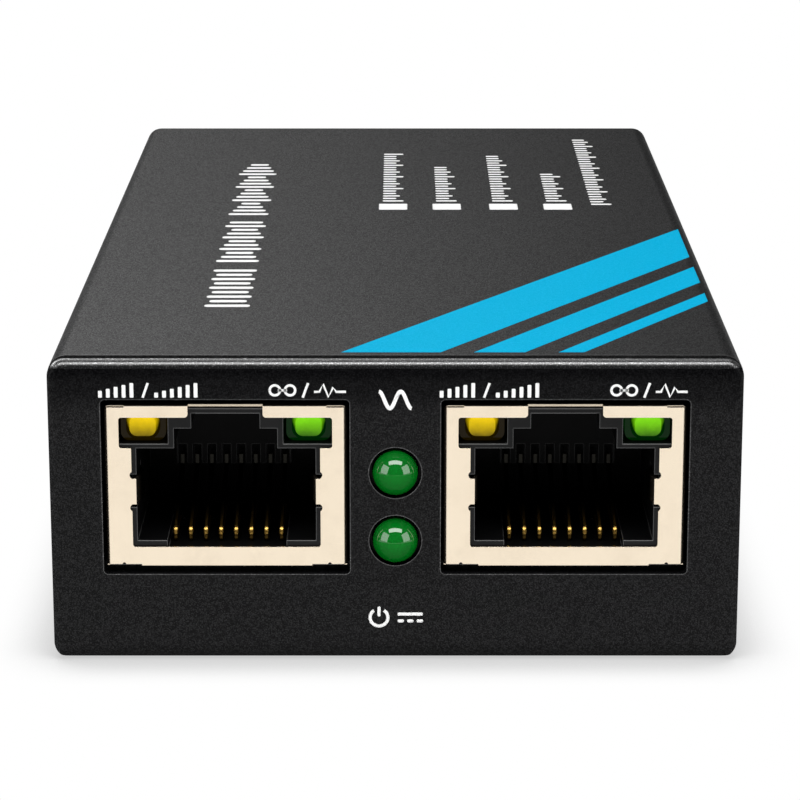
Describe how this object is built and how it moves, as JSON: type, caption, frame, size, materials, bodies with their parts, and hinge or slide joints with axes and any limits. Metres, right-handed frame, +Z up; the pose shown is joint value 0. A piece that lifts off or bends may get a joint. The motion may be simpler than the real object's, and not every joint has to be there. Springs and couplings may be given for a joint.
{
  "type": "fibre media converter",
  "caption": "Black steel box with network jacks and indicator lamps at the front, and a fibre port and a power inlet at the back.",
  "frame": {"origin": "centre of the underside of the folded steel base", "axes": "+X to the right seen from the front, +Y from the jacks to the back, +Z up out of the lid"},
  "size_m": [0.046, 0.0893, 0.021],
  "materials": {
    "black_powder_coat": "fine-textured satin powder coat",
    "nickel_shield": "bright nickel over stamped sheet",
    "black_moulding": "moulded, satin",
    "gold_contact": "gold-flashed formed wire",
    "amber_lens": "tinted clear moulding",
    "green_lens": "tinted clear moulding",
    "lamp_green": "tinted diffused moulding",
    "board_mask": "black solder mask over glass laminate",
    "chip_black": "moulded epoxy",
    "tinned_metal": "tin plate",
    "fibre_blue": "moulded, satin",
    "latch_white": "moulded, satin",
    "sleeve_ceramic": "ground zirconia",
    "screw_black": "black zinc",
    "zinc_steel": "bright zinc",
    "can_aluminium": "drawn can",
    "white_ink": "screen print on the powder coat",
    "cyan_ink": "screen print on the powder coat"
  },
  "bodies": {
    "root": {"chassis": "black_powder_coat", "top_cover": "black_powder_coat", "cover_screws": "screw_black", "board_standoffs": "zinc_steel", "board_screws": "zinc_steel", "main_board": "board_mask", "upper_front_lamp": "lamp_green", "lower_front_lamp": "lamp_green", "lamp_holder": "black_moulding", "lamp_leads": "tinned_metal", "fibre_module_case": "black_moulding", "fibre_module_pins": "tinned_metal", "fibre_port_shell": "fibre_blue", "fibre_port_latch": "latch_white", "fibre_port_sleeve": "sleeve_ceramic", "power_inlet_body": "black_moulding", "power_inlet_pin": "tinned_metal", "power_inlet_spring": "tinned_metal", "left_transformer": "chip_black", "right_transformer": "chip_black", "transformer_leads": "tinned_metal", "switch_chip": "chip_black", "switch_chip_leads": "tinned_metal", "crystal_can": "zinc_steel", "capacitor_cans": "can_aluminium", "capacitor_feet": "black_moulding", "power_inductor": "chip_black", "regulator_chip": "chip_black", "chip_resistors": "chip_black", "left_jack_shield": "nickel_shield", "left_jack_insert": "black_moulding", "left_jack_contacts": "gold_contact", "left_jack_amber_lamp": "amber_lens", "left_jack_green_lamp": "green_lens", "left_jack_lamp_leads": "tinned_metal", "right_jack_shield": "nickel_shield", "right_jack_insert": "black_moulding", "right_jack_contacts": "gold_contact", "right_jack_amber_lamp": "amber_lens", "right_jack_green_lamp": "green_lens", "right_jack_lamp_leads": "tinned_metal"}
  },
  "joints": []
}
